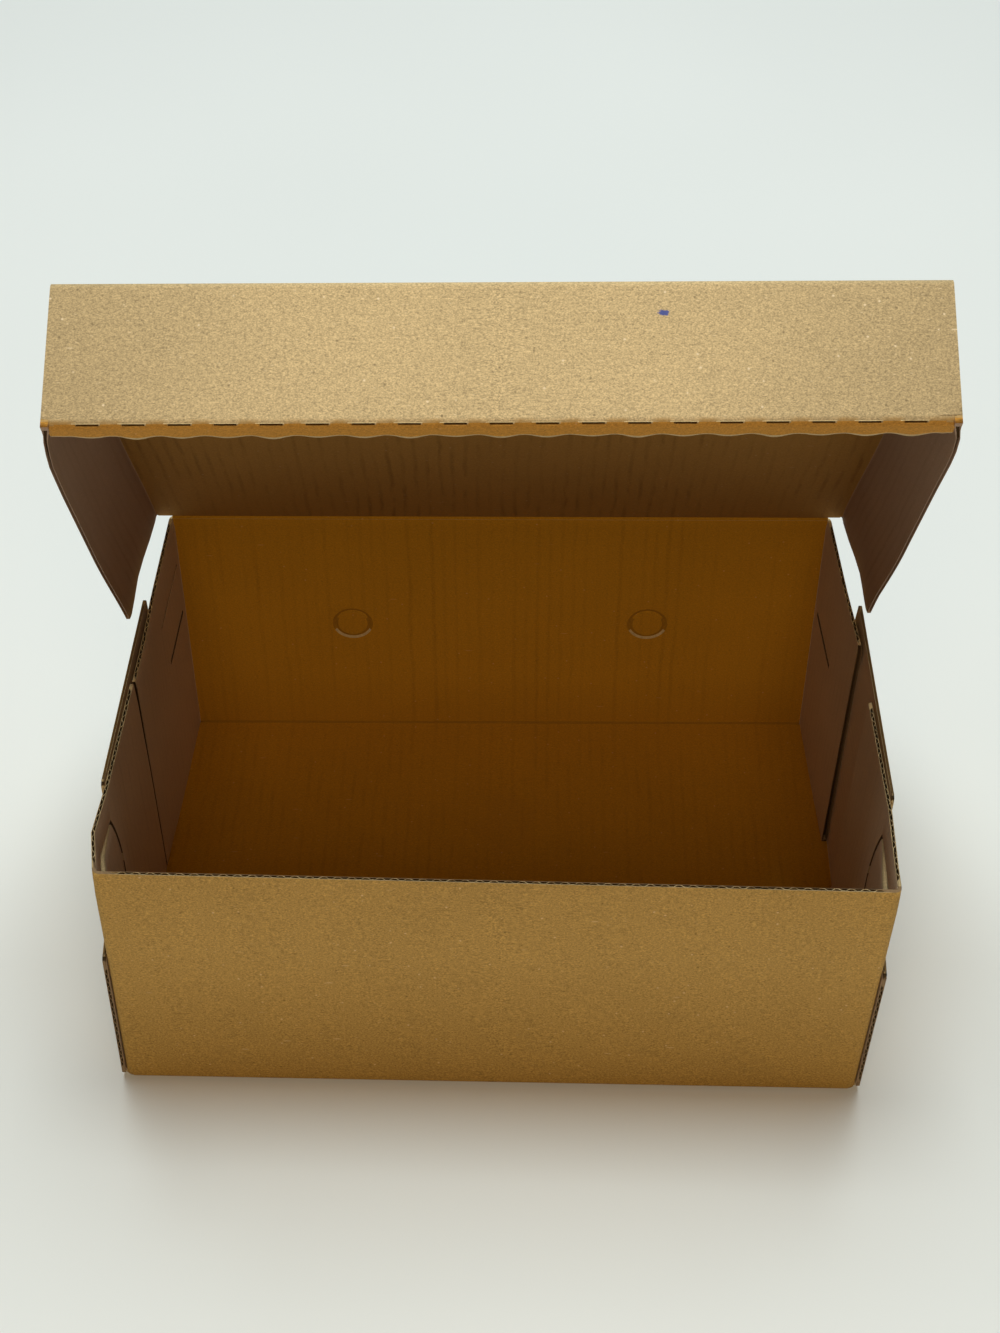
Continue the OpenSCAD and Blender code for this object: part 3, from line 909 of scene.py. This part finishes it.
# %% Ribs of the flutes
def flute_ribs(tree, where):
    """Dark dashes along the flutes, from 0 to 1: one line for each flute, kept only here and there."""
    uv = node(tree, "ShaderNodeUVMap", uv_map="flutes").outputs["UV"]
    across = part_of(tree, uv, "X")
    wander = spread(tree, cloud(tree, where, 60.0, 2.0), 0.3, 0.7, -0.12, 0.12)
    turn = arithmetic(tree, "MULTIPLY", arithmetic(tree, "ADD", across, wander), 2 * math.pi)
    line = spread(tree, arithmetic(tree, "SINE", turn, 0.0), 0.1, 1.0, 0.0, 1.0)
    dashes = spread(tree, cloud(tree, uv, 1.1, 3.0, 0.0, (1, 0.2, 1)), 0.38, 0.62, 0.0, 1.0)
    patchy = spread(tree, cloud(tree, where, 22.0, 2.0), 0.35, 0.65, 0.3, 1.0)
    return arithmetic(tree, "MULTIPLY", line, arithmetic(tree, "MULTIPLY", dashes, patchy))


# %% [markdown]
# The tone of a liner is one colour times a grey. The grey adds up felt, a finer felt and soft clouds, and
# takes the ribs away. On it lie the fibres and specks: pale wisps in two directions, white hairs and
# dots, and brown grit. Each row of SCATTER holds cells in a metre, radius, share kept, stretch, turn,
# paint and strength.

# %% Tone, fibres and specks of a liner
FELT, FINE_FELT, BLOTS = 1900.0, 3800.0, 30.0
FINE_SHARE = 0.8
BLOT_SHADE = 0.035
DIM_FROM, DIM_TO = 0.04, 0.1
SCATTER = ((900.0, 0.13, 0.7, (0.3, 1, 1), (0, 0, 0.3), "pale", 0.7),
           (800.0, 0.12, 0.6, (0.35, 1, 1), (0, 0.5, -0.4), "pale", 0.5),
           (260.0, 0.075, 0.4, (0.22, 1, 1), (0.2, 0.3, 0.5), "white", 0.55),
           (300.0, 0.11, 0.45, (1, 1, 1), (0, 0, 0), "white", 0.75),
           (280.0, 0.11, 0.4, (1, 1, 1), (0.3, 0.7, 0.1), "brown", 0.7))


def paper_tone(tree, where, tone, felt, rib, grain, ribs, painted_end_falloff):
    """The bare tone; the last argument darkens it towards the left and right ends of the carton, as painted
    light.
    """
    fine = cloud(tree, where, FINE_FELT, 0.0, 0.0, (0.7, 1, 1))
    blot = cloud(tree, where, BLOTS, 3.0)
    shade = arithmetic(tree, "ADD", spread(tree, felt, 0.25, 0.75, 1 - grain, 1 + grain),
                       spread(tree, fine, 0.25, 0.75, -FINE_SHARE * grain, FINE_SHARE * grain))
    shade = arithmetic(tree, "ADD", shade, spread(tree, blot, 0.3, 0.7, -BLOT_SHADE, BLOT_SHADE))
    shade = arithmetic(tree, "SUBTRACT", shade, arithmetic(tree, "MULTIPLY", rib, ribs))
    # painted light: darker towards the ends of the carton, as a falloff of the lamp's light
    if painted_end_falloff:
        from_middle = arithmetic(tree, "ABSOLUTE", part_of(tree, where, "X"), 0.0)
        dimmed = spread(tree, from_middle, DIM_FROM, DIM_TO, 1.0, 1.0 - painted_end_falloff)
        shade = arithmetic(tree, "MULTIPLY", shade, dimmed)
    grey = node(tree, "ShaderNodeCombineColor", {"Red": shade, "Green": shade, "Blue": shade})
    return tinted(tree, 1.0, opaque(tone), grey.outputs["Color"], "MULTIPLY")


def scattered(tree, where, colour, tone, dots):
    paints = {"pale": opaque(min(1.0, c * 1.25 + 0.10) for c in tone),
              "white": opaque(min(1.0, c * 1.25 + 0.2) for c in tone),
              "brown": opaque(c * 0.36 for c in tone)}
    for per_metre, radius, kept, stretch, turn, paint, strength in SCATTER:
        spots = specks(tree, where, per_metre, radius, kept, stretch, turn)
        colour = tinted(tree, arithmetic(tree, "MULTIPLY", spots, strength * dots), colour, paints[paint])
    return colour


# %% [markdown]
# Three things can lie on a liner: rubbed paper where the point value says so, painted shade that makes
# the tone darker and warmer near the floor, and a smudge, a flattened patch of ink or of darker brown. A
# smudge could be a painted image. A flattened ball round a place does the same without one, and noise
# breaks its rim.

# %% Marks on a liner
FOOT_HEIGHT = 0.055
SMUDGE_RIM, SMUDGE_CORE = 1.05, 0.7


def rubbed(tree, where, colour, tone):
    share = node(tree, "ShaderNodeAttribute", attribute_name="scuff").outputs["Fac"]
    broken = spread(tree, cloud(tree, where, 450.0, 3.0), 0.3, 0.7, 0.35, 1.0)
    return tinted(tree, arithmetic(tree, "MULTIPLY", share, broken), colour, opaque(tone))


def painted_foot_shade(tree, where, colour, tone):
    # painted shade: darker and warmer towards the floor
    near_floor = spread(tree, part_of(tree, where, "Z"), 0.0, FOOT_HEIGHT, 1.0, 0.0)
    return tinted(tree, near_floor, colour, opaque(tone), "MULTIPLY")


def smudged(tree, where, colour, place, radii, paint, cover):
    math_node = "ShaderNodeVectorMath"
    away = node(tree, math_node, {0: where, 1: place}, operation="SUBTRACT").outputs["Vector"]
    flat = node(tree, math_node, {0: away, 1: radii}, operation="DIVIDE").outputs["Vector"]
    reach = node(tree, math_node, {0: flat}, operation="LENGTH")
    rough = spread(tree, cloud(tree, flat, 1.4, 3.0), 0.3, 0.7, -0.35, 0.35)
    ragged = arithmetic(tree, "ADD", reach.outputs["Value"], rough)
    return tinted(tree, spread(tree, ragged, SMUDGE_RIM, SMUDGE_CORE, 0.0, cover), colour, opaque(paint))


# %% [markdown]
# Kraft liner is a matte brown paper, and this recipe puts its tone, specks and marks together. The felt
# and the ribs also give a slight relief and an uneven roughness, so that the paper doesn't look like
# paint.

# %% Kraft liner
RELIEF_STRENGTH, RELIEF_DEPTH = 0.3, 0.08
RIB_DEPTH = 3.0


def kraft_liner(name, tone, grain, dots=0.0, ribs=0.0, smudge=None, painted_end_falloff=0.0, scuff=None, foot=None):
    """grain, dots and ribs are strengths; smudge is a place, radii, a paint and how much of it covers.

    scuff is the tone of rubbed paper, and foot is what the tone is multiplied with near the floor: painted
    shade."""
    material, tree, shader, where = new_material(name)
    felt = cloud(tree, where, FELT, 2.0, 0.0, (0.75, 1, 1))
    rib = flute_ribs(tree, where)
    colour = paper_tone(tree, where, tone, felt, rib, grain, ribs, painted_end_falloff)
    colour = scattered(tree, where, colour, tone, dots)
    if scuff is not None:
        colour = rubbed(tree, where, colour, scuff)
    if foot is not None:
        # painted shade near the floor
        colour = painted_foot_shade(tree, where, colour, foot)
    if smudge is not None:
        colour = smudged(tree, where, colour, *smudge)
    tree.links.new(colour, shader.inputs["Base Color"])
    height = arithmetic(tree, "SUBTRACT", felt, arithmetic(tree, "MULTIPLY", rib, RIB_DEPTH * ribs))
    emboss(tree, shader, RELIEF_STRENGTH, RELIEF_DEPTH, height)
    tree.links.new(spread(tree, felt, 0.3, 0.7, 0.82, 0.97), shader.inputs["Roughness"])
    print(name, "has", len(tree.nodes), "nodes")
    return material


# %% [markdown]
# A cut edge shows loose pulp, which is rougher and more even than the liner. One noise between a darker
# and a lighter tone is enough for it, and for the painted shade of the hollows and the painted highlight of
# the lips too, with other tones.

# %% Cut edge of the board
PULP = 1500.0
PULP_DARK, PULP_LIGHT = 0.8, 1.15
PULP_ROUGHNESS = 0.95
PULP_STRENGTH, PULP_DEPTH = 0.4, 0.06


def cut_board(name, tone):
    material, tree, shader, where = new_material(name)
    pulp = cloud(tree, where, PULP, 3.0, 0.6)
    dark = opaque(c * PULP_DARK for c in tone)
    light = opaque(min(1.0, c * PULP_LIGHT) for c in tone)
    share = spread(tree, pulp, 0.3, 0.7, 0.0, 1.0)
    tree.links.new(tinted(tree, share, dark, light), shader.inputs["Base Color"])
    emboss(tree, shader, PULP_STRENGTH, PULP_DEPTH, pulp)
    shader.inputs["Roughness"].default_value = PULP_ROUGHNESS
    print(name, "has", len(tree.nodes), "nodes")
    return material


# %% [markdown]
# All the liners are the same paper, but it looks pale on the lid, brown on the front wall and deep
# orange-brown inside. The lamps make part of that difference, and a tone for each surface makes the rest,
# so these tones are painted light and shade: lit and shaded copies of one paper. The skirt has a small
# spot of blue ink, and the bottom a faint darker brown patch.

# %% Mix the papers
INK_ON_SKIRT, INK_RADII = (36.4, -140.9, -7.3), (1.35, 0.8, 0.8)
INK_BLUE, INK_COVER = (0.045, 0.075, 0.29), 0.92
# a faint darker brown patch on the bottom of the tray
DARK_PATCH_ON_BOTTOM, DARK_PATCH_RADII = (2.0, 25.0, BOARD), (10, 12, 3)
DARK_PATCH_BROWN, DARK_PATCH_COVER = (0.40, 0.185, 0.02), 0.22

ink_place = lid_to_bench.inverted() @ (Vector(INK_ON_SKIRT) * MM)
ink = (ink_place, tuple(r * MM for r in INK_RADII), INK_BLUE, INK_COVER)
dark_patch = (Vector(DARK_PATCH_ON_BOTTOM) * MM, tuple(r * MM for r in DARK_PATCH_RADII), DARK_PATCH_BROWN, DARK_PATCH_COVER)

# painted light and shade: a tone of its own for each surface of the one paper
tray_face = kraft_liner("kraft_tray_outside", (0.485, 0.293, 0.084), grain=0.25, dots=0.85, ribs=0.02,
                        foot=(0.76, 0.68, 0.48))
lid_face = kraft_liner("kraft_lid_outside", (0.555, 0.40, 0.207), grain=0.27, dots=0.9, smudge=ink,
                       painted_end_falloff=0.2, scuff=(0.44, 0.24, 0.065))
tray_inner = kraft_liner("kraft_tray_inside", (0.475, 0.224, 0.014), grain=0.12, dots=0.35, ribs=0.14,
                         smudge=dark_patch)
lid_inner = kraft_liner("kraft_lid_inside", (0.345, 0.18, 0.045), grain=0.10, dots=0.3, ribs=0.30)
tray_sides = kraft_liner("kraft_tray_sides", (0.57, 0.43, 0.30), grain=0.08, dots=0.3, ribs=0.10)
lid_sides = kraft_liner("kraft_lid_sides", (0.39, 0.26, 0.175), grain=0.08, dots=0.3, ribs=0.12)
# painted shade for pressed lines, shaded rims, grooves and the underside of the roll
painted_shade = kraft_liner("kraft_painted_shade", (0.26, 0.17, 0.09), grain=0.08)
groove_shade = kraft_liner("kraft_groove_shade", (0.33, 0.155, 0.012), grain=0.08)
rolled = kraft_liner("kraft_rolled", (0.50, 0.238, 0.042), grain=0.18, dots=0.4)
edge = cut_board("cut_board", (0.54, 0.40, 0.21))
# painted shade in the hollows, and a painted highlight on the lips
recess_shade = cut_board("flute_recess_shade", (0.10, 0.06, 0.025))
lip_highlight = cut_board("lip_highlight_fold", (0.84, 0.66, 0.36))

# %% [markdown]
# The faces already know their slot, so dressing a sheet only means filling its slots in the order of the
# kinds. The crease strip shows the tray's inner paper in front and its outer paper behind. It isn't fixed
# to one body.

# %% Dress every surface
for piece, face, inner, sides in ((tray, tray_face, tray_inner, tray_sides),
                                  (lid, lid_face, lid_inner, lid_sides)):
    for slot, material in enumerate((face, inner, sides, edge, recess_shade, painted_shade, rolled, lip_highlight, groove_shade)):
        piece.data.materials[slot] = material
    print(piece.name, "faces of each finish:", np.bincount(kinds_of(piece)).tolist())
crease.data.uv_layers.active.name = "flutes"
crease.data.materials[0] = tray_inner
crease.data.materials[1] = tray_face
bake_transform(crease)

# %% [markdown]
# The stage is a pale floor, large enough to have no edge in the picture. A plain white would look empty,
# so a slow noise moves it between two whites that are almost the same.

# %% Floor
FLOOR_SIZE = 2.6
FLOOR_BELOW = 0.05
FLOOR_WHITES = ((0.77, 0.78, 0.77, 1), (0.80, 0.81, 0.80, 1))
FLOOR_ROUGHNESS = 0.7

bpy.ops.object.select_all(action="DESELECT")
bpy.ops.mesh.primitive_plane_add(size=FLOOR_SIZE, location=(0, 0, -FLOOR_BELOW * MM))
floor = bpy.context.object
floor.name = "floor"
floor_paint, tree, shader, where = new_material("pale_floor")
veil = spread(tree, cloud(tree, where, 3.0, 2.0), 0.3, 0.7, 0.0, 1.0)
tree.links.new(tinted(tree, veil, *FLOOR_WHITES), shader.inputs["Base Color"])
shader.inputs["Roughness"].default_value = FLOOR_ROUGHNESS
floor.data.materials.append(floor_paint)
print("floor is", FLOOR_SIZE, "m wide")

# %% [markdown]
# One broad soft lamp hangs overhead, a little behind the carton, and a weaker warm one fills in from the
# front. The lid's skirt looks up into the first and is bright, the front wall lives on the second and on
# what the floor throws back, and the inside stays deep brown. The world is dim where it lights things and
# white where the camera sees it.

# %% Lamps and world
ROOM_GREY, BACKDROP_WHITE = (0.09, 0.09, 0.09, 1), (0.80, 0.81, 0.80, 1)


def soft_lamp(name, place, tilt, size, power, tint):
    """A square area lamp; tilt is in degrees round X from straight down."""
    bpy.ops.object.light_add(type="AREA", location=place, rotation=(math.radians(tilt), 0, 0))
    lamp = bpy.context.object
    lamp.name = name
    lamp.data.shape = "SQUARE"
    lamp.data.size = size
    lamp.data.energy = power
    lamp.data.color = tint
    print(name, "gives", power, "W")


soft_lamp("ceiling_lamp", place=(0.0, 0.38, 1.55), tilt=-14, size=0.9, power=23.5, tint=(0.91, 1.0, 0.995))
soft_lamp("front_fill", place=(0, -1.32, 1.18), tilt=48, size=1.0, power=8.6, tint=(1.0, 0.77, 0.49))

world = bpy.context.scene.world or bpy.data.worlds.new("room")
bpy.context.scene.world = world
world.use_nodes = True
sky = world.node_tree
background = sky.nodes["Background"]
seen = node(sky, "ShaderNodeLightPath").outputs["Is Camera Ray"]
sky.links.new(tinted(sky, seen, ROOM_GREY, BACKDROP_WHITE), background.inputs["Color"])
background.inputs["Strength"].default_value = 1.0

# %% [markdown]
# The camera was fitted to the carton's corners: it stands in front, a little under half a metre up, and
# looks down at 44 degrees. The long side of the frame is 1333 pixels, which turns the fitted focal length
# into a lens.

# %% Camera
FRAME_HEIGHT_PX = 1333
FOCAL_PX = 2187.6
CAMERA_PLACE = (0.0020, -0.4084, 0.4830)
CAMERA_TURN = (46.02, -0.02, 0.26)
SENSOR = 36.0

bpy.ops.object.camera_add(location=CAMERA_PLACE)
camera = bpy.context.object
camera.rotation_euler = [math.radians(angle) for angle in CAMERA_TURN]
camera.data.sensor_width = SENSOR
camera.data.lens = camera.data.sensor_width * FOCAL_PX / FRAME_HEIGHT_PX
bpy.context.scene.camera = camera
bpy.context.scene.view_settings.view_transform = "Standard"
print("lens", round(camera.data.lens, 2), "mm")
